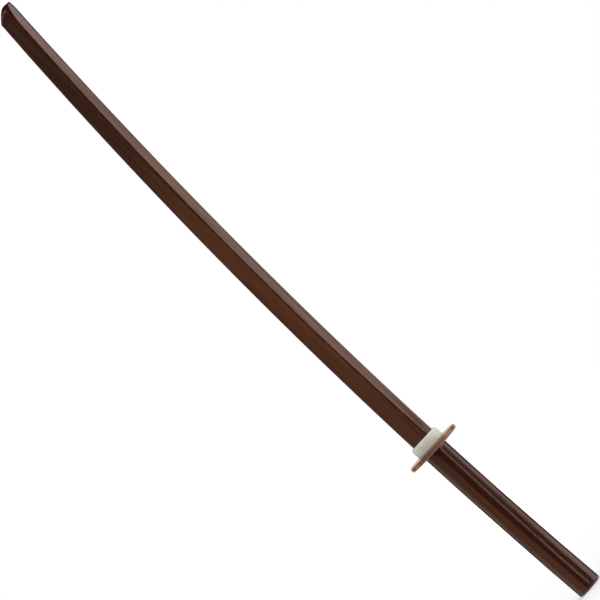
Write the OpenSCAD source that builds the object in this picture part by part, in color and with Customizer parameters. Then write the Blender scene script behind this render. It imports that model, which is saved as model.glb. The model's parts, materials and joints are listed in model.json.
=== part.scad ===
// Wooden practice sword, long size: a one-piece wooden body with a guard and a stopper ring.
// Origin: centre of the flat butt face. +Z runs up the grip towards the tip.
// +X is the back of the blade, -X its edge, and Y runs through its thickness.
// The whole sword follows one arc whose centre lies on +X, level with the butt face.

/* [Whole sword] */
// Straight length from butt to tip
overall_len = 1015; // [900:5:1100]
// Radius of the arc that the centre line follows
curve_r = 7030; // [5000:10:12000]

/* [Grip] */
// Length of the grip, from the butt to the seat of the guard
grip_len = 255; // [220:1:280]
// Depth of the grip, from edge side to back
grip_depth = 34.2; // [34:0.1:40]
// Thickness of the grip
grip_thick = 26; // [24:0.5:32]
// Fullness of the grip's oval: 2 is an ellipse, more is squarer
grip_fullness = 2.25; // [2:0.05:3]
// Rounding round the butt face
butt_round = 3.4; // [1:0.1:5]

/* [Blade] */
// Depth of the blade at the guard, from edge to back
base_depth = 33.4; // [30:0.1:33.8]
// Steady part of the taper in depth over the length of the blade
even_taper = 2.9; // [2:0.1:5]
// Further taper in depth, most of it near the tip
tip_taper = 2.7; // [1:0.1:4]
// Thickness across the ridges at the guard
base_thick = 22.4; // [20:0.1:23]
// Thickness across the ridges at the tip
tip_thick = 17; // [14:0.1:19]
// Distance from the back down to the ridge at the guard
base_ridge = 8.4; // [7:0.1:9]
// Distance from the back down to the ridge along the blade
mid_ridge = 11.4; // [10:0.1:12]
// Length of blade over which the ridge leaves its place at the guard
ridge_run = 200; // [100:5:300]
// Width of the flattened back at the guard
back_width = 13.4; // [10:0.1:15]
// Height of the low roof along the back
roof_height = 1.8; // [1:0.1:2.4]
// Radius of the blunt edge
edge_round = 2.8; // [1.5:0.1:3.5]
// How many degrees the bowed flats turn past straight, from their middle to the edge
flat_bow = 9; // [2:1:14]

/* [Tip] */
// Distance that the edge ends short of the point
tip_set_back = 15.5; // [10:0.5:25]
// Height above the centre line where the curve of the tip begins
tip_flat = 4; // [0:0.5:6]
// How quickly the tip curves away from the point
tip_sweep = 1.55; // [1.3:0.05:2]
// Width of the rounding round the tip
tip_round = 4.6; // [3:0.2:8]
// Share of the blade's thickness left at the very end
tip_blunt = 0.64; // [0.4:0.02:0.8]
// Length over which the ridge sweeps up to the point
sweep_run = 34; // [20:1:60]
// Fullness of the curve in which the ridge sweeps up: 2 is an ellipse, more turns up nearer the point
ridge_sweep = 2.2; // [1.6:0.1:3]
// Distance from the back down to the ridge at the point
ridge_end = 3; // [2.6:0.1:6]
// How far the back falls at the point
tip_nod = 1; // [0:0.1:2]
// Length over which the back falls to the point
nod_run = 15; // [8:1:30]

/* [Guard] */
// Diameter of the round guard
guard_d = 78; // [70:1:90]
// Thickness of the guard
guard_thick = 6; // [5:0.5:8]
// Rounding of the guard's rim
guard_rim = 2.2; // [0.5:0.1:2.4]
// Clearance round the blade in the guard
guard_clear = 0.3; // [0.1:0.1:1]

/* [Stopper ring] */
// Length of the ring along the blade
ring_len = 14.5; // [10:0.5:20]
// Depth of the ring, in the direction from edge to back
ring_depth = 42.3; // [40:0.1:46]
// Thickness of the ring, across the blade
ring_thick = 31.6; // [29:0.1:36]
// Fullness of the ring's oval: 2 is an ellipse, more is squarer
ring_fullness = 2.4; // [2:0.05:3]
// Rounding of the ring's outer edge on the blade side
ring_round = 3.4; // [1:0.1:4]
// Rounding of the ring's outer edge on the guard side
ring_back_round = 0.8; // [0.3:0.1:2]
// Clearance round the blade in the ring
ring_clear = 0.1; // [0.05:0.05:0.5]

/* [Hidden] */

wood = [0.27, 0.16, 0.12];
guard_brown = [0.52, 0.36, 0.25];
ivory = [0.79, 0.78, 0.73];

// Play between pieces that rest against each other
seat_gap = 0.05;
// Steps in a rounding of 90 degrees
round_steps = 5;
// Steps down one side of a blade section: the roof, the side, the flat and the rounded edge
roof_steps = 1;
side_steps = 2;
flat_steps = 6;
edge_steps = 4;
half_steps = roof_steps + side_steps + flat_steps + edge_steps;
// Spacing of the cross sections along the sword
station_gap = 20;
// How far the ridge comes up again towards the tip
ridge_rise = 2.3;
// Length of stock below the butt that is sawn off square
stub = 3;
// Length of the bent sections that lead up to the rounded tip, and their count
tip_run = 36;
tip_sections = 7;

// Lengths along the arc
sword_len = 2 * curve_r * asin(overall_len / 2 / curve_r) * PI / 180;
blade_len = sword_len - grip_len;
guard_at = grip_len + seat_gap;
ring_at = guard_at + guard_thick + seat_gap;
tip_start = sword_len - tip_set_back - tip_run - 1;

// ---- Places along the arc ----

function arc_angle(s) = s / curve_r * 180 / PI;

// The point at distance s along the arc, u towards the back and y across
function on_arc(s, u, y) = [
    curve_r - (curve_r - u) * cos(arc_angle(s)),
    y,
    (curve_r - u) * sin(arc_angle(s))
];

// Moves children, drawn round the origin, to distance s along the arc
module at_arc(s) {
    translate([curve_r, 0, 0])
        rotate([0, arc_angle(s), 0])
            translate([-curve_r, 0, 0])
                children();
}

// ---- Half outlines, from the back (+u) round one side to the edge (-u) ----

function signed_pow(v, p) = sign(v) * pow(abs(v), p);

function half_oval(depth, thick, fullness) = [
    for (i = [0 : half_steps])
        let (a = 180 * i / half_steps, p = 2 / fullness)
        [depth / 2 * signed_pow(cos(a), p), thick / 2 * (i == half_steps ? 0 : pow(sin(a), p))]
];

// How far along the blade s is: 0 at the guard, 1 at the tip
function along(s) = max(0, (s - grip_len) / blade_len);

function blade_depth(f) = base_depth - even_taper * f - tip_taper * pow(f, 3);
function blade_thick(f) = base_thick - (base_thick - tip_thick) * pow(f, 0.75);
function back_at(f) = back_width * blade_thick(f) / base_thick;

// How far below the back the ridge lies, before it sweeps up to the point
function full_drop(f) =
    let (run = min(1, f * blade_len / ridge_run))
    base_ridge + (mid_ridge - base_ridge) * run - ridge_rise * pow(f, 3);

function ridge_drop(f) =
    let (
        left = max(0, 1 - (1 - f) * blade_len / sweep_run),
        sweep = pow(max(0, 1 - pow(left, ridge_sweep)), 1 / ridge_sweep)
    )
    max(ridge_end, full_drop(f) * sweep);

// Half the thickness across the ridges, which narrows as the ridge climbs the bevel of the back
function ridge_half(f) =
    let (share = (ridge_drop(f) - roof_height) / (full_drop(f) - roof_height))
    (back_at(f) + (blade_thick(f) - back_at(f)) * share) / 2;

// Points along a straight line, without its end
function line(from, to, steps) = [for (i = [0 : steps - 1]) from + (to - from) * i / steps];

function ray(a) = [cos(a), sin(a)];

// Points along an arc that bows out of the line from-to, without its end.
// It reaches "to" facing the direction end_angle.
function bowed(from, to, end_angle, steps) =
    let (
        chord = to - from,
        bow = end_angle - (atan2(chord.y, chord.x) + 270),
        r = norm(chord) / 2 / sin(bow),
        centre = to - r * ray(end_angle)
    )
    [for (i = [0 : steps - 1]) centre + r * ray(end_angle - 2 * bow * (1 - i / steps))];

// Back with a low roof, a ridge on each side, and bowed flats down to the blunt edge
function half_blade(f, grow = 0) =
    let (
        half = blade_depth(f) / 2 + grow,
        shoulder = [half - roof_height, back_at(f) / 2 + grow],
        ridge = [half - ridge_drop(f), ridge_half(f) + grow],
        r = edge_round + grow,
        centre = [r - half, 0],
        reach = ridge - centre,
        first = atan2(reach.y, reach.x) + acos(r / norm(reach)) + flat_bow,
        edge = [for (i = [0 : edge_steps])
            centre + r * (i == edge_steps ? [-1, 0] : ray(first + (180 - first) * i / edge_steps))]
    )
    concat(
        line([half, 0], shoulder, roof_steps),
        line(shoulder, ridge, side_steps),
        bowed(ridge, edge[0], first, flat_steps),
        edge
    );

// The half outline and its mirror image, as one closed outline
function both_sides(half) =
    concat(half, [for (i = [len(half) - 2 : -1 : 1]) [half[i].x, -half[i].y]]);

// ---- Skin over a row of closed outlines with equal counts of points ----

// The outlines run anticlockwise seen from above, so each face runs clockwise seen from outside
module loft(rings) {
    n = len(rings[0]);
    last = len(rings) - 1;
    sides = [
        for (k = [0 : last - 1], i = [0 : n - 1])
            let (j = (i + 1) % n)
            [k * n + i, (k + 1) * n + i, (k + 1) * n + j, k * n + j]
    ];
    // Each end is closed with strips between mirrored points, so a curved end stays smooth
    strips = [
        for (i = [0 : n / 2 - 1])
            let (quad = [i, i + 1, n - i - 1, (n - i) % n])
            i == 0 ? [0, 1, n - 1] : i == n / 2 - 1 ? [i, i + 1, n - i] : quad
    ];
    end_cap = [for (f = strips) [for (v = [len(f) - 1 : -1 : 0]) last * n + f[v]]];
    polyhedron([for (ring = rings) each ring], concat(sides, strips, end_cap));
}

function shrink_half(half, depth, thick, inset) = [
    for (p = half) [p.x * (1 - 2 * inset / depth), p.y * (1 - 2 * inset / thick)]
];

// ---- Sword body ----

// Cross section at distance s, placed on the arc
function placed(half, s) = [for (p = both_sides(half)) on_arc(s, p.x, p.y)];

// Rounded butt with a stub below it, then the grip up to the seat of the guard
function grip_sections() =
    let (
        oval = half_oval(grip_depth, grip_thick, grip_fullness),
        count = ceil(grip_len / station_gap),
        // The outline at an angle of the butt's rounding: 0 on the face, 90 on the side
        butt = function (a, s)
            placed(shrink_half(oval, grip_depth, grip_thick, butt_round * (1 - sin(a))), s)
    )
    concat(
        [butt(0, -stub)],
        [for (i = [0 : round_steps])
            let (a = 90 * i / round_steps)
            butt(a, butt_round * (1 - cos(a)))],
        [for (k = [1 : count]) placed(oval, butt_round + (grip_len - butt_round) * k / count)]
    );

// How far along the arc the outline of the tip lies at height u
function tip_edge(u) =
    let (low = max(0, tip_flat - u) / (tip_flat + blade_depth(1) / 2))
    sword_len - tip_set_back * pow(low, tip_sweep);

// Share of the thickness left at a distance from the tip's outline
function tip_share(gap) =
    let (q = 1 - min(1, gap / tip_round))
    tip_blunt + (1 - tip_blunt) * sqrt(1 - q * q);

// How far the back has fallen at a distance from the point
function nod(ahead) = tip_nod * pow(max(0, 1 - ahead / nod_run), 2);

// A section that runs parallel to the tip's outline, a gap inside it
function tip_section(gap) = [
    for (p = both_sides(half_blade(along(sword_len - gap))))
        let (s = tip_edge(p.x) - gap)
        on_arc(s, p.x - nod(sword_len - s), p.y * tip_share(gap))
];

// The blade from the guard to the tip
function blade_sections() =
    let (
        count = ceil((tip_start - grip_len) / station_gap),
        steps = 2 * round_steps
    )
    concat(
        [for (k = [0 : count])
            let (s = grip_len + (tip_start - grip_len) * k / count)
            placed(half_blade(along(s)), s)],
        [for (i = [0 : tip_sections - 1])
            tip_section(tip_run + (tip_round - tip_run) * i / tip_sections)],
        [for (i = [0 : steps]) tip_section(tip_round * pow(1 - i / steps, 2))]
    );

module sword_body() {
    stock = 200;
    color(wood) difference() {
        loft(concat(grip_sections(), blade_sections()));
        translate([-stock / 2, -stock / 2, -stock])
            cube(stock);
    }
}

// ---- Guard ----

// The opening that slides along the blade, with clearance all round
module blade_hole(clear, depth) {
    translate([0, 0, -1])
        linear_extrude(depth + 2)
            polygon(both_sides(half_blade(0, clear)));
}

module guard() {
    r = guard_d / 2;
    color(guard_brown) at_arc(guard_at) difference() {
        rotate_extrude($fn = 96) {
            square([r - guard_rim, guard_thick]);
            translate([0, guard_rim])
                square([r, guard_thick - 2 * guard_rim]);
            for (z = [guard_rim, guard_thick - guard_rim])
                translate([r - guard_rim, z])
                    circle(guard_rim, $fn = 32);
        }
        blade_hole(guard_clear, guard_thick);
    }
}

// ---- Stopper ring ----

module stopper_ring() {
    oval = half_oval(ring_depth, ring_thick, ring_fullness);
    // Height and inset of each section: up round the guard side, then round the blade side
    steps = concat(
        [for (i = [0 : round_steps])
            let (a = 90 * i / round_steps)
            [ring_back_round * (1 - cos(a)), ring_back_round * (1 - sin(a))]],
        [for (i = [0 : round_steps])
            let (a = 90 * i / round_steps)
            [ring_len - ring_round * (1 - sin(a)), ring_round * (1 - cos(a))]]
    );
    color(ivory) at_arc(ring_at) difference() {
        loft([
            for (step = steps)
                [for (p = both_sides(shrink_half(oval, ring_depth, ring_thick, step[1])))
                    [p.x, p.y, step[0]]]
        ]);
        blade_hole(ring_clear, ring_len);
    }
}

sword_body();
guard();
stopper_ring();
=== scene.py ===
"""A wooden practice sword with its round guard and rubber stopper ring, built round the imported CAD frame."""
import json
import math

import bmesh
import bpy
from mathutils import Matrix, Vector, noise

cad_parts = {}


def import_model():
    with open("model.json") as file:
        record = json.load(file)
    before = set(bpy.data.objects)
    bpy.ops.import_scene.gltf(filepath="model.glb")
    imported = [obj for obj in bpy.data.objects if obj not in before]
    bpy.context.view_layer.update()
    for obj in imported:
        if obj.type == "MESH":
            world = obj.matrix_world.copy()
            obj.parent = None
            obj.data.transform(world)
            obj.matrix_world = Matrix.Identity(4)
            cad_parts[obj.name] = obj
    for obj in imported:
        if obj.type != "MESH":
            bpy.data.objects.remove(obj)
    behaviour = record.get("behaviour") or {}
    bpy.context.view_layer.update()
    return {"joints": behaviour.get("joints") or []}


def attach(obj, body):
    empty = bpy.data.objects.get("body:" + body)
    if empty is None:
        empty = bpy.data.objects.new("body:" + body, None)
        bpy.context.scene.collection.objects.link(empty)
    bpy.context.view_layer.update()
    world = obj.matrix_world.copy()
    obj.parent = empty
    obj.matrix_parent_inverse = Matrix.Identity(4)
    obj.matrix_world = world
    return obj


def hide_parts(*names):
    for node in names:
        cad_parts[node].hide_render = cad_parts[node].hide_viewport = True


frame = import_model()

MM = 0.001

# ---- Driving dimensions, in millimetres ----
# The pivot of the sliding joints is the centre of the sword's curve.
CURVE_R = frame["joints"][0]["pos_m"][0] / MM
OVERALL_LEN = 1015.0
GRIP_LEN = 255.0
GRIP_DEPTH, GRIP_THICK, GRIP_FULLNESS = 34.2, 26.0, 2.25
BUTT_ROUND = 3.4
BASE_DEPTH, EVEN_TAPER, TIP_TAPER = 33.4, 2.9, 2.7
BASE_THICK, TIP_THICK = 22.4, 17.0
BASE_RIDGE, MID_RIDGE, RIDGE_RISE, RIDGE_RUN = 8.4, 11.4, 2.3, 200.0
BACK_WIDTH, ROOF_HEIGHT, EDGE_ROUND = 13.4, 1.8, 2.8
FLAT_BOW = math.radians(9)
TIP_SET_BACK, TIP_FLAT, TIP_SWEEP = 15.5, 4.0, 1.55
TIP_ROUND, TIP_BLUNT, TIP_RUN = 4.6, 0.64, 36.0
RIDGE_SWEEP, SWEEP_RUN, RIDGE_END = 2.2, 34.0, 3.0
TIP_NOD, NOD_RUN = 1.0, 15.0
SEAT_GAP = 0.05
GUARD_D, GUARD_THICK, GUARD_RIM, GUARD_CLEAR = 78.0, 6.0, 2.2, 0.3
RING_LEN, RING_DEPTH, RING_THICK, RING_FULLNESS = 14.5, 42.3, 31.6, 2.4
RING_ROUND, RING_BACK_ROUND, RING_CLEAR = 3.4, 0.8, 0.1

# Softened corners of the wood, and how much tighter they are in the openings of the guard and the ring
BACK_SOFT, SHOULDER_SOFT, RIDGE_SOFT = 3.0, 1.2, 4.5
HOLE_SOFT = 0.6
# The largest share of the sides next to a corner that its rounding takes up
FILLET_SHARE = 0.45
# Rounding of the seat's rim. At 0.4 the rim would touch the blade's outline at the edge.
SEAT_SOFT = 0.3
# The slow swell that hand planing leaves: its height, and its length along and across the wood
PLANE_SWELL, SWELL_LENGTH, SWELL_WIDTH = 0.03, 55.0, 12.0

# Points down one side of a blade section: the roof, the side, the flat, the soft corners and the edge
ROOF_STEPS, SIDE_STEPS, FLAT_STEPS, SOFT_STEPS, CREST_STEPS, EDGE_STEPS = 3, 6, 16, 4, 8, 8
# Sections along the sword: their spacing, then their counts round the butt and the seat and at the tip
STATION_GAP = 4.0
BUTT_STEPS, SEAT_STEPS, LEAD_STEPS, TIP_STEPS = 8, 4, 14, 20
# Gap at the edge between the last straight section and the first bent one
BEND_GAP = 1.0
# How many sections at the very tip may be worn and carry the painted highlight
WORN_HIGHLIT_TIP = 11

SWORD_LEN = 2 * CURVE_R * math.asin(OVERALL_LEN / 2 / CURVE_R)
BLADE_LEN = SWORD_LEN - GRIP_LEN
GUARD_AT = GRIP_LEN + SEAT_GAP
RING_AT = GUARD_AT + GUARD_THICK + SEAT_GAP
TIP_START = SWORD_LEN - TIP_SET_BACK - TIP_RUN - BEND_GAP
CHORD_ANGLE = SWORD_LEN / 2 / CURVE_R


# ---- Places along the arc ----

def on_arc(s, u, y):
    """The point s along the arc, u towards the back and y across, in metres."""
    angle = s / CURVE_R
    reach = CURVE_R - u
    return Vector((CURVE_R - reach * math.cos(angle), y, reach * math.sin(angle))) * MM


# ---- Outlines: lists of (u, y) from the back, down the +y side, to the edge ----

def line(a, b, steps):
    """Points from a towards b, without b."""
    return [a.lerp(b, i / steps) for i in range(steps)]


def ray(angle):
    return Vector((math.cos(angle), math.sin(angle)))


def bowed(a, b, end_angle, steps):
    """Points on an arc that bows out of the line a-b, without b. It reaches b facing end_angle."""
    chord = b - a
    bow = end_angle - (math.atan2(chord.y, chord.x) + 1.5 * math.pi)
    r = chord.length / 2 / math.sin(bow)
    centre = b - r * ray(end_angle)
    return [centre + r * ray(end_angle - 2 * bow * (1 - i / steps)) for i in range(steps)]


def fillet(before, corner, after, radius, steps):
    """An arc that rounds a corner off, with steps + 1 points."""
    d1, d2 = (before - corner).normalized(), (after - corner).normalized()
    half = d1.angle(d2) / 2
    side = min((before - corner).length, (after - corner).length)
    run = min(radius / math.tan(half), FILLET_SHARE * side)
    centre = corner + (d1 + d2).normalized() * (run / math.cos(half))
    first, last = corner + d1 * run - centre, corner + d2 * run - centre
    turn = first.angle_signed(last)
    points = []
    for i in range(steps + 1):
        a = -turn * i / steps
        rotated = Vector((
            first.x * math.cos(a) - first.y * math.sin(a),
            first.x * math.sin(a) + first.y * math.cos(a),
        ))
        points.append(centre + rotated)
    return points


def along(s):
    """0 at the guard, 1 at the tip."""
    return max(0.0, (s - GRIP_LEN) / BLADE_LEN)


def blade_depth(f):
    return BASE_DEPTH - EVEN_TAPER * f - TIP_TAPER * f ** 3


def blade_thick(f):
    return BASE_THICK - (BASE_THICK - TIP_THICK) * f ** 0.75


def back_width(f):
    return BACK_WIDTH * blade_thick(f) / BASE_THICK


def full_drop(f):
    """How far below the back the ridge lies, before it sweeps up to the point."""
    run = min(1.0, f * BLADE_LEN / RIDGE_RUN)
    return BASE_RIDGE + (MID_RIDGE - BASE_RIDGE) * run - RIDGE_RISE * f ** 3


def ridge_drop(f):
    left = max(0.0, 1 - (1 - f) * BLADE_LEN / SWEEP_RUN)
    sweep = max(0.0, 1 - left ** RIDGE_SWEEP) ** (1 / RIDGE_SWEEP)
    return max(RIDGE_END, full_drop(f) * sweep)


def ridge_half(f):
    """Half the thickness across the ridges, which narrows as the ridge climbs the bevel of the back."""
    back = back_width(f)
    share = (ridge_drop(f) - ROOF_HEIGHT) / (full_drop(f) - ROOF_HEIGHT)
    return (back + (blade_thick(f) - back) * share) / 2


def half_blade(f, grow=0.0, soft=1.0):
    """One side of the blade's section: softened roof, side, ridge, flat and blunt edge."""
    half = blade_depth(f) / 2 + grow
    apex = Vector((half, 0))
    shoulder = Vector((half - ROOF_HEIGHT, back_width(f) / 2 + grow))
    ridge = Vector((half - ridge_drop(f), ridge_half(f) + grow))
    r = EDGE_ROUND + grow
    centre = Vector((r - half, 0))
    reach = ridge - centre
    first = math.atan2(reach.y, reach.x) + math.acos(r / reach.length) + FLAT_BOW
    edge = [centre + r * ray(first + (math.pi - first) * i / EDGE_STEPS) for i in range(EDGE_STEPS + 1)]
    edge[-1].y = 0.0
    # A point straight on from the ridge along the flat's first step, so that the crest is rounded evenly
    below = ridge.lerp(bowed(ridge, edge[0], first, FLAT_STEPS)[1], FLAT_STEPS / 2)
    top = fillet(Vector((shoulder.x, -shoulder.y)), apex, shoulder, BACK_SOFT * soft, 2 * SOFT_STEPS)
    top = top[SOFT_STEPS:]
    top[0].y = 0.0
    brow = fillet(apex, shoulder, ridge, SHOULDER_SOFT * soft, SOFT_STEPS)
    crest = fillet(shoulder, ridge, below, RIDGE_SOFT * soft, CREST_STEPS)
    return (
        top[:-1]
        + line(top[-1], brow[0], ROOF_STEPS)
        + brow[:-1]
        + line(brow[-1], crest[0], SIDE_STEPS)
        + crest
        + bowed(crest[-1], edge[0], first, FLAT_STEPS)[1:]
        + edge
    )


def oval_through(half, depth, thick, fullness):
    """The oval's points in the same directions from the centre as the points of half."""
    points = []
    for p in half:
        c, s = (abs(v) for v in p.normalized())
        reach = ((2 * c / depth) ** fullness + (2 * s / thick) ** fullness) ** (-1 / fullness)
        points.append(p.normalized() * reach)
    return points


def both_sides(half):
    """A closed outline from one side and its mirror image."""
    return half + [Vector((p.x, -p.y)) for p in reversed(half[1:-1])]


def shrunk(half, depth, thick, inset):
    """An oval's points with an inset taken off all round."""
    return [Vector((p.x * (1 - 2 * inset / depth), p.y * (1 - 2 * inset / thick))) for p in half]


def quarter(steps):
    """Pairs (rise, inset), as shares of a radius, round a convex edge from a flat end to the side."""
    angles = [math.pi / 2 * i / steps for i in range(steps + 1)]
    return [(1 - math.cos(a), 1 - math.sin(a)) for a in angles]


# ---- Skins over rows of outlines ----

def skin(name, rings, capped):
    """A smooth-shaded mesh over rings of points. It ends in flat strips, or meets its own start."""
    bm = bmesh.new()
    rows = [[bm.verts.new(p) for p in ring] for ring in rings]
    n = len(rows[0])
    pairs = list(zip(rows, rows[1:])) + ([] if capped else [(rows[-1], rows[0])])
    for low, high in pairs:
        for i in range(n):
            j = (i + 1) % n
            bm.faces.new((low[i], low[j], high[j], high[i]))
    if capped:
        for row in (rows[0], rows[-1]):
            bm.faces.new((row[0], row[1], row[-1]))
            bm.faces.new((row[n // 2 - 1], row[n // 2], row[n // 2 + 1]))
            for i in range(1, n // 2 - 1):
                bm.faces.new((row[i], row[i + 1], row[n - i - 1], row[n - i]))
    bmesh.ops.recalc_face_normals(bm, faces=bm.faces)
    mesh = bpy.data.meshes.new(name)
    bm.to_mesh(mesh)
    bm.free()
    mesh.shade_smooth()
    obj = bpy.data.objects.new(name, mesh)
    bpy.context.scene.collection.objects.link(obj)
    return obj


def crisp(obj, degrees):
    """Keeps edges sharper than the given angle crisp under smooth shading."""
    obj.data.set_sharp_from_angle(angle=math.radians(degrees))


def add_value(obj, name, values):
    """Stores one number for each vertex, for the material to read."""
    attribute = obj.data.attributes.new(name, "FLOAT", "POINT")
    attribute.data.foreach_set("value", values)


# ---- Sword body ----

def swell(s, p):
    """The slow swell of a hand-planed surface, in millimetres."""
    place = Vector((s / SWELL_LENGTH, p.x / SWELL_WIDTH, p.y / SWELL_WIDTH))
    return PLANE_SWELL * noise.noise(place)


def tip_edge(u):
    """How far along the arc the outline of the tip lies at height u."""
    low = max(0.0, TIP_FLAT - u) / (TIP_FLAT + blade_depth(1) / 2)
    return SWORD_LEN - TIP_SET_BACK * low ** TIP_SWEEP


def tip_share(gap):
    """Share of the thickness left at a distance from the tip's outline."""
    q = 1 - min(1.0, gap / TIP_ROUND)
    return TIP_BLUNT + (1 - TIP_BLUNT) * math.sqrt(1 - q * q)


def nod(ahead):
    """How far the back falls by the time it is this far from the point."""
    return TIP_NOD * max(0.0, 1 - ahead / NOD_RUN) ** 2


def tip_ring(gap):
    """A section that runs parallel to the tip's outline, a gap inside it."""
    share = tip_share(gap)
    ring = []
    for p in both_sides(half_blade(along(SWORD_LEN - gap))):
        s = tip_edge(p.x) - gap
        ring.append(on_arc(s, p.x - nod(SWORD_LEN - s), p.y * share))
    return ring


def placed(half, s):
    """A straight section at distance s, with the swell of the planed wood."""
    return [
        on_arc(s, *(p * (1 + swell(s, p) / max(p.length, 1))))
        for p in both_sides(half)
    ]


def sword_rings():
    """The sections of the sword, from the butt to the tip."""
    base = half_blade(0)
    oval = oval_through(base, GRIP_DEPTH, GRIP_THICK, GRIP_FULLNESS)
    rings = [
        placed(shrunk(oval, GRIP_DEPTH, GRIP_THICK, BUTT_ROUND * inset), BUTT_ROUND * rise)
        for rise, inset in quarter(BUTT_STEPS)
    ]
    top = GRIP_LEN - SEAT_SOFT
    count = round((top - BUTT_ROUND) / STATION_GAP)
    rings += [placed(oval, BUTT_ROUND + (top - BUTT_ROUND) * k / count) for k in range(1, count + 1)]
    rings += [
        placed(shrunk(oval, GRIP_DEPTH, GRIP_THICK, SEAT_SOFT * inset), GRIP_LEN - SEAT_SOFT * rise)
        for rise, inset in reversed(quarter(SEAT_STEPS)[:-1])
    ]
    count = round((TIP_START - GRIP_LEN) / STATION_GAP)
    for k in range(count + 1):
        s = GRIP_LEN + (TIP_START - GRIP_LEN) * k / count
        rings.append(placed(half_blade(along(s)), s))
    rings += [tip_ring(TIP_RUN + (TIP_ROUND - TIP_RUN) * i / LEAD_STEPS) for i in range(LEAD_STEPS)]
    rings += [tip_ring(TIP_ROUND * (1 - i / TIP_STEPS) ** 2) for i in range(TIP_STEPS + 1)]
    return rings


def wear_and_highlight_marks(rings):
    """How worn each point may be, which also places a painted highlight: 1 on the ridges, the edge and the
    rims, 0 elsewhere.
    """
    half = len(rings[0]) // 2
    brow = SOFT_STEPS + ROOF_STEPS
    crest = brow + SOFT_STEPS + SIDE_STEPS
    corners = (
        (0, SOFT_STEPS),
        (brow, SOFT_STEPS),
        (crest, CREST_STEPS),
        (half - EDGE_STEPS, EDGE_STEPS),
    )
    marks = [0.0] * (half + 1)
    for first, steps in corners:
        for i in range(first, first + steps + 1):
            marks[i] = 1.0
    ring_marks = marks + marks[-2:0:-1]
    below_seat = sum(ring[0].z < GRIP_LEN * MM for ring in rings)
    values = []
    for k in range(len(rings)):
        near_end = k <= BUTT_STEPS or k >= len(rings) - WORN_HIGHLIT_TIP
        on_blade = k > below_seat
        values += [1.0 if near_end else mark * on_blade for mark in ring_marks]
    return values


def sword_body():
    rings = sword_rings()
    obj = skin("sword_body_wood", rings, capped=True)
    crisp(obj, 50)
    add_value(obj, "wear_and_highlight", wear_and_highlight_marks(rings))
    return obj


# ---- Guard ----

def at_arc(s):
    """The frame of a piece that sits at distance s along the arc."""
    out = Matrix.Translation((CURVE_R * MM, 0, 0))
    back = Matrix.Translation((-CURVE_R * MM, 0, 0))
    return out @ Matrix.Rotation(s / CURVE_R, 4, "Y") @ back


def lifted(points, z):
    return [Vector((p.x, p.y, z)) * MM for p in points]


def guard():
    hole = both_sides(half_blade(0, GUARD_CLEAR, HOLE_SOFT))
    rim = [p.normalized() for p in hole]
    radius = GUARD_D / 2
    chamfer = 0.4
    # Rows over each face, as shares of the way from the opening to the full radius
    face_rows = (0.04, 0.2, 0.45, 0.7, 0.85)
    rings = []

    def disc(r, z):
        rings.append(lifted([p * r for p in rim], z))

    def opening(share, grow, z):
        wide = both_sides(half_blade(0, GUARD_CLEAR + grow, HOLE_SOFT))
        rings.append(lifted([p.lerp(d * radius, share) for p, d in zip(wide, rim)], z))

    opening(0, 0, chamfer)
    opening(0, chamfer, 0)
    for share in face_rows:
        opening(share, chamfer, 0)
    for rise, inset in quarter(10):
        disc(radius - GUARD_RIM * inset, GUARD_RIM * rise)
    for rise, inset in reversed(quarter(10)):
        disc(radius - GUARD_RIM * inset, GUARD_THICK - GUARD_RIM * rise)
    for share in reversed(face_rows):
        opening(share, chamfer, GUARD_THICK)
    opening(0, chamfer, GUARD_THICK)
    opening(0, 0, GUARD_THICK - chamfer)
    obj = skin("guard_disc", rings, capped=False)
    obj.data.transform(at_arc(GUARD_AT))
    crisp(obj, 35)
    return obj


# ---- Stopper ring ----

def stopper_ring():
    base = half_blade(0, RING_CLEAR, HOLE_SOFT)
    oval = oval_through(base, RING_DEPTH, RING_THICK, RING_FULLNESS)
    lip = 0.5
    side_steps = 6
    rings = []

    def outer(inset, z):
        rings.append(lifted(both_sides(shrunk(oval, RING_DEPTH, RING_THICK, inset)), z))

    def opening(grow, z):
        rings.append(lifted(both_sides(half_blade(0, RING_CLEAR + grow, HOLE_SOFT)), z))

    opening(0, lip)
    opening(lip, 0)
    for rise, inset in quarter(6):
        outer(RING_BACK_ROUND * inset, RING_BACK_ROUND * rise)
    for k in range(1, side_steps):
        outer(0, RING_BACK_ROUND + (RING_LEN - RING_BACK_ROUND - RING_ROUND) * k / side_steps)
    for rise, inset in reversed(quarter(10)):
        outer(RING_ROUND * inset, RING_LEN - RING_ROUND * rise)
    opening(lip, RING_LEN)
    opening(0, RING_LEN - lip)
    obj = skin("stopper_ring_rubber", rings, capped=False)
    obj.data.transform(at_arc(RING_AT))
    crisp(obj, 35)
    return obj


# ---- Materials ----

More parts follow.
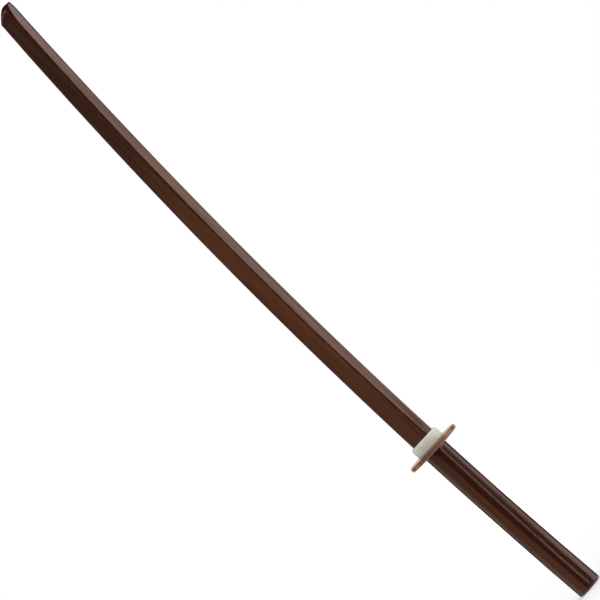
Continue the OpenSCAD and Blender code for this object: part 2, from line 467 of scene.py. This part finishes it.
class Nodes:
    """A short way to write a node material."""

    def __init__(self, name):
        self.material = bpy.data.materials.new(name)
        self.material.use_nodes = True
        self.tree = self.material.node_tree
        self.tree.nodes.clear()
        self.output = self.add("ShaderNodeOutputMaterial")

    def add(self, kind, inputs=None, **settings):
        node = self.tree.nodes.new(kind)
        for key, value in settings.items():
            setattr(node, key, value)
        for key, value in (inputs or {}).items():
            self.set(node.inputs[key], value)
        return node

    def set(self, socket, value):
        if isinstance(value, bpy.types.NodeSocket):
            self.tree.links.new(value, socket)
        elif isinstance(value, bpy.types.Node):
            self.tree.links.new(value.outputs[0], socket)
        else:
            socket.default_value = value

    def math(self, operation, a, b=0.0, c=0.0, clamp=False):
        return self.add("ShaderNodeMath", {0: a, 1: b, 2: c}, operation=operation, use_clamp=clamp)

    def noise(self, vector, scale, detail=4.0, roughness=0.55):
        return self.add("ShaderNodeTexNoise", {
            "Vector": vector, "Scale": scale, "Detail": detail, "Roughness": roughness,
        })

    def stretched(self, vector, scale):
        return self.add("ShaderNodeMapping", {"Vector": vector, "Scale": scale})

    def ramp(self, value, low, high, out_low=0.0, out_high=1.0):
        return self.add("ShaderNodeMapRange", {
            "Value": value, "From Min": low, "From Max": high, "To Min": out_low, "To Max": out_high,
        })

    def mix(self, share, a, b):
        node = self.add("ShaderNodeMix", data_type="RGBA")
        for key, value in (("Factor", share), ("A", a), ("B", b)):
            sockets = [s for s in node.inputs if s.name == key and s.enabled]
            self.set(sockets[0], value)
        return [s for s in node.outputs if s.enabled][0]

    def shade(self, **inputs):
        names = {key: key.replace("_", " ") for key in inputs}
        shader = self.add("ShaderNodeBsdfPrincipled", {names[k]: v for k, v in inputs.items()})
        self.tree.links.new(shader.outputs[0], self.output.inputs["Surface"])
        return self.material


def stained_wood():
    """Dark red-brown stained hardwood under a glossy coat. The grain runs straight through the curve."""
    n = Nodes("stained_wood")
    place = n.add("ShaderNodeTexCoord").outputs["Object"]
    turn = (0, -CHORD_ANGLE, math.radians(24))
    plank = n.add("ShaderNodeMapping", {"Vector": place, "Rotation": turn})
    # Growth layers, bent a little by slow noise
    wander = n.noise(n.stretched(plank, (14, 14, 1.6)), 1.0, detail=3)
    across = n.add("ShaderNodeSeparateXYZ", {0: plank})
    bent = n.math("MULTIPLY_ADD", n.math("SUBTRACT", wander, 0.5), 0.012, across.outputs["X"])
    layer_gap = 0.0031
    layers = n.math("SINE", n.math("MULTIPLY", bent, 2 * math.pi / layer_gap))
    layers = n.ramp(layers, -1, 1)
    uneven = n.noise(n.stretched(plank, (260, 260, 5)), 1.0, detail=5, roughness=0.6)
    grain = n.math("MULTIPLY_ADD", layers, 0.35, n.math("MULTIPLY", uneven, 0.75), clamp=True)
    # Long open pores
    pores = n.noise(n.stretched(plank, (2100, 2100, 55)), 1.0, detail=2, roughness=0.5)
    pore_share = n.ramp(pores, 0.58, 0.70)
    blotch = n.noise(n.stretched(plank, (18, 18, 5)), 1.0, detail=3)
    # Broad streaks along the grain, where the wood takes more or less of the stain and the coat
    streak = n.ramp(n.noise(n.stretched(plank, (170, 170, 4)), 1.0, detail=3, roughness=0.6), 0.36, 0.64)
    dark, light = (0.026, 0.0040, 0.0011, 1), (0.064, 0.0118, 0.0038, 1)
    colour = n.mix(n.ramp(grain, 0.25, 0.85), dark, light)
    colour = n.mix(n.ramp(blotch, 0.35, 0.75, 0, 0.45), colour, (0.048, 0.0062, 0.0020, 1))
    colour = n.mix(n.math("MULTIPLY", streak, 0.55), colour, (0.014, 0.0025, 0.0009, 1))
    colour = n.mix(n.math("MULTIPLY", pore_share, 0.75), colour, (0.008, 0.003, 0.002, 1))
    # Edge wear, lighter and rougher in patches, which also paints a highlight along the ridges, the edge and
    # the rounded ends
    wear_and_highlight = n.add("ShaderNodeAttribute", attribute_name="wear_and_highlight").outputs["Fac"]
    scuff = n.ramp(n.noise(place, 90.0, detail=6, roughness=0.7), 0.45, 0.75)
    worn_and_highlit = n.math("MULTIPLY", n.math("MULTIPLY", wear_and_highlight, scuff), 0.45)
    colour = n.mix(worn_and_highlit, colour, (0.13, 0.055, 0.030, 1))
    rough = n.ramp(grain, 0.2, 0.9, 0.30, 0.40)
    rough = n.math("ADD", rough, n.math("MULTIPLY", worn_and_highlit, 0.25))
    height = n.math("SUBTRACT", n.math("MULTIPLY", grain, 0.25), pore_share)
    bump = n.add("ShaderNodeBump", {"Strength": 0.35, "Distance": 0.00012, "Height": height})
    coat_bump = n.add("ShaderNodeBump", {"Strength": 0.10, "Distance": 0.00010, "Height": height})
    return n.shade(
        Base_Color=colour, Roughness=rough, Normal=bump, Specular_IOR_Level=0.08,
        Coat_Weight=n.ramp(streak, 0, 1, 1.0, 0.66), Coat_Roughness=0.10, Coat_IOR=1.5,
        Coat_Normal=coat_bump,
    )


def brown_plastic():
    """Moulded brown plastic with a fine satin grain."""
    n = Nodes("brown_plastic")
    place = n.add("ShaderNodeTexCoord").outputs["Object"]
    cloud = n.noise(place, 45.0, detail=4, roughness=0.6)
    fleck = n.noise(place, 900.0, detail=3, roughness=0.6)
    colour = n.mix(n.ramp(cloud, 0.3, 0.7), (0.150, 0.070, 0.030, 1), (0.215, 0.108, 0.050, 1))
    colour = n.mix(n.ramp(fleck, 0.55, 0.8, 0, 0.5), colour, (0.075, 0.035, 0.017, 1))
    bump = n.add("ShaderNodeBump", {"Strength": 0.25, "Distance": 0.00008, "Height": fleck})
    return n.shade(
        Base_Color=colour, Roughness=n.ramp(fleck, 0.3, 0.7, 0.16, 0.26), Normal=bump,
        Specular_IOR_Level=0.5,
    )


def ivory_rubber():
    """Off-white rubber, matte, with a faint powdery mottle."""
    n = Nodes("ivory_rubber")
    place = n.add("ShaderNodeTexCoord").outputs["Object"]
    cloud = n.noise(place, 110.0, detail=5, roughness=0.6)
    skin_grain = n.noise(place, 1500.0, detail=2)
    colour = n.mix(n.ramp(cloud, 0.3, 0.7), (0.73, 0.70, 0.60, 1), (0.81, 0.79, 0.71, 1))
    bump = n.add("ShaderNodeBump", {"Strength": 0.3, "Distance": 0.00006, "Height": skin_grain})
    return n.shade(
        Base_Color=colour, Roughness=n.ramp(cloud, 0.3, 0.7, 0.55, 0.7), Normal=bump,
        Specular_IOR_Level=0.4, Subsurface_Weight=0.12, Subsurface_Radius=(0.004, 0.003, 0.002),
        Subsurface_Scale=0.5,
    )


def dress(obj, material, body, node):
    obj.data.materials.append(material)
    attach(obj, body)
    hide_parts(node)


sword = sword_body()
dress(sword, stained_wood(), "sword", "sword_body")
dress(guard(), brown_plastic(), "guard", "guard")
dress(stopper_ring(), ivory_rubber(), "stopper", "stopper_ring")


# ---- Floor, world, lights and camera ----

# The floor's size, and how far out its shadows fade away
FLOOR_RADIUS, FADE_FROM, FADE_TO = 2.5, 0.5, 2.2
# How bright the surround is to matt surfaces, and in the gloss
WORLD_FILL, WORLD_GLOSSY = 0.74, 0.008

# Tints of the soft lights
NEUTRAL, WARM, AMBER = (1.0, 1.0, 1.0), (1.0, 0.82, 0.72), (1.0, 0.68, 0.57)
PINK, GOLD, STRAW = (1.0, 0.80, 0.80), (1.0, 0.47, 0.24), (1.0, 0.95, 0.65)
# The lights aim at this x at their own height, and most stand this far out
SWORD_X = 0.03
CARD_DISTANCE = 2.4

# The camera looks square at the sword's side, rolled so that the tip is at the upper left.
# VIEW_SIZE is the width of the view at the sword.
CAMERA_DISTANCE = 5.0
VIEW_SIZE = 0.7375
ROLL = math.radians(-49.65)
AIM = Vector((0.0376, 0, 0.5007))


def floor():
    """A plain pale floor under the butt, which fades out into the white surround."""
    bm = bmesh.new()
    bmesh.ops.create_circle(bm, cap_ends=True, segments=96, radius=FLOOR_RADIUS)
    mesh = bpy.data.meshes.new("floor")
    bm.to_mesh(mesh)
    bm.free()
    obj = bpy.data.objects.new("floor", mesh)
    bpy.context.scene.collection.objects.link(obj)
    n = Nodes("floor_white")
    place = n.add("ShaderNodeTexCoord").outputs["Object"]
    away = n.add("ShaderNodeVectorMath", {0: place}, operation="LENGTH").outputs["Value"]
    fade = n.ramp(away, FADE_FROM, FADE_TO)
    diffuse = n.add("ShaderNodeBsdfDiffuse", {"Color": (0.9, 0.9, 0.9, 1)})
    clear = n.add("ShaderNodeBsdfTransparent")
    both = n.add("ShaderNodeMixShader", {0: fade, 1: diffuse, 2: clear})
    n.tree.links.new(both.outputs[0], n.output.inputs["Surface"])
    obj.data.materials.append(n.material)
    obj.visible_glossy = False
    obj.visible_shadow = False
    obj.is_shadow_catcher = True


def world():
    """White to the camera, a fairly bright even fill for matt surfaces, and dark in reflections."""
    w = bpy.data.worlds.new("studio")
    bpy.context.scene.world = w
    w.use_nodes = True
    tree = w.node_tree
    tree.nodes.clear()
    path = tree.nodes.new("ShaderNodeLightPath")
    out = tree.nodes.new("ShaderNodeOutputWorld")

    def grey(value):
        background = tree.nodes.new("ShaderNodeBackground")
        background.inputs["Color"].default_value = (value, value, value, 1)
        return background.outputs[0]

    def choose(ray, otherwise, chosen):
        mix = tree.nodes.new("ShaderNodeMixShader")
        tree.links.new(path.outputs[ray], mix.inputs[0])
        tree.links.new(otherwise, mix.inputs[1])
        tree.links.new(chosen, mix.inputs[2])
        return mix.outputs[0]

    shade = choose("Is Diffuse Ray", grey(WORLD_GLOSSY), grey(WORLD_FILL))
    tree.links.new(choose("Is Camera Ray", shade, grey(1.0)), out.inputs["Surface"])


# What the "wood" lights light
wood_only = bpy.data.collections.new("wood_only")
wood_only.objects.link(sword)


def soft_light(name, place, width, height, radiance, colour=NEUTRAL, seen="both", tilt=0.0, target=None):
    """A rectangular soft light that faces the sword, or target. Radiance is what a mirror would show.

    It lights matt surfaces only ("matt"), shows in the gloss only ("glossy"), or does both. A "wood"
    light shows in the gloss of the wood only.
    """
    data = bpy.data.lights.new(name, "AREA")
    data.shape = "RECTANGLE"
    data.size, data.size_y = width, height
    data.color = colour
    data.energy = radiance * math.pi * width * height
    obj = bpy.data.objects.new(name, data)
    aim = Vector(target or (SWORD_X, 0, place[2])) - Vector(place)
    facing = aim.to_track_quat("-Z", "Y").to_matrix().to_4x4()
    obj.matrix_world = Matrix.Translation(place) @ facing @ Matrix.Rotation(math.radians(tilt), 4, "Z")
    obj.visible_camera = False
    obj.visible_glossy = seen != "matt"
    obj.visible_diffuse = seen in ("both", "matt")
    if seen == "wood":
        obj.light_linking.receiver_collection = wood_only
    bpy.context.scene.collection.objects.link(obj)


def polar(azimuth, z, distance=CARD_DISTANCE):
    """A place at an angle round the sword: 0 is in front of it, 90 is on the side of its back."""
    a = math.radians(azimuth)
    return (distance * math.sin(a), -distance * math.cos(a), z)


def lights():
    # Matt light: a key along the back and a weaker one from the edge side
    soft_light("back_key", polar(80, 0.6), 2.0, 2.4, 1.5, seen="matt")
    soft_light("edge_key", polar(-60, 0.35), 1.6, 2.0, 0.24, WARM, "matt")
    # Cards for the back's bevels. The blade's share of them starts nearer the front than the grip's.
    soft_light("back_card", polar(84, 0.5), 1.8, 2.8, 2.4, WARM, "glossy")
    soft_light("blade_card", polar(44, 0.55), 1.7, 0.8, 3.6, AMBER, "wood")
    soft_light("tip_card", polar(44, 1.75), 1.7, 1.6, 4.6, PINK, "wood")
    soft_light("butt_card", polar(55, -0.45), 0.55, 0.7, 3.2, AMBER, "wood", tilt=-30)
    # The roof of the back, and every outline, where the surface turns to face away from the camera
    soft_light("roof_card", polar(146, 0.6), 0.9, 2.6, 0.5, PINK, "glossy")
    soft_light("backdrop", polar(180, 0.5, 2.6), 2.2, 3.0, 1.0, WARM, "glossy")
    soft_light("below", (0.0, 0.0, -0.7), 4.0, 4.0, 0.8, seen="glossy", target=(0, 0.001, 0))
    # Gold cards: in front of the grip, then in front of the flats, which stay dark just below the ridge
    soft_light("gold_grip", polar(-43, -0.55), 2.9, 1.5, 0.88, GOLD, "wood")
    soft_light("gold_blade", polar(-43, 0.62), 1.65, 0.86, 1.1, GOLD, "wood")
    soft_light("gold_top", polar(-43, 1.4), 1.65, 0.7, 0.25, STRAW, "wood")
    soft_light("edge_fill", polar(-75, 0.0), 0.9, 1.0, 0.7, WARM, "glossy")
    soft_light("edge_card", polar(-100, 0.3), 1.2, 2.4, 1.25, WARM, "glossy")
    # A slanted strip that draws the thin line along the grip, and a card for the bevel round the tip
    soft_light("grip_strip", polar(18.5, -0.034, 2.2), 0.12, 1.1, 3.6, AMBER, "wood", tilt=-63)
    soft_light("tip_glint", (-1.27, -1.87, 2.3), 1.3, 0.6, 2.2, PINK, "wood", target=(0, 0, 1))
    # Light from above and behind, for matt and glossy surfaces alike
    soft_light("top", (0.2, 0.4, 3.0), 2.0, 2.0, 1.2)
    soft_light("rear", polar(205, 0.7, 2.6), 0.8, 2.0, 1.2, WARM)


def camera():
    data = bpy.data.cameras.new("camera")
    data.sensor_width = 36
    data.lens = data.sensor_width * CAMERA_DISTANCE / VIEW_SIZE
    data.clip_end = 100
    obj = bpy.data.objects.new("camera", data)
    facing = Matrix.Rotation(math.pi / 2, 4, "X") @ Matrix.Rotation(ROLL, 4, "Z")
    obj.matrix_world = Matrix.Translation(AIM - Vector((0, CAMERA_DISTANCE, 0))) @ facing
    bpy.context.scene.collection.objects.link(obj)
    bpy.context.scene.camera = obj


floor()
world()
lights()
camera()
bpy.context.scene.view_settings.view_transform = "Standard"
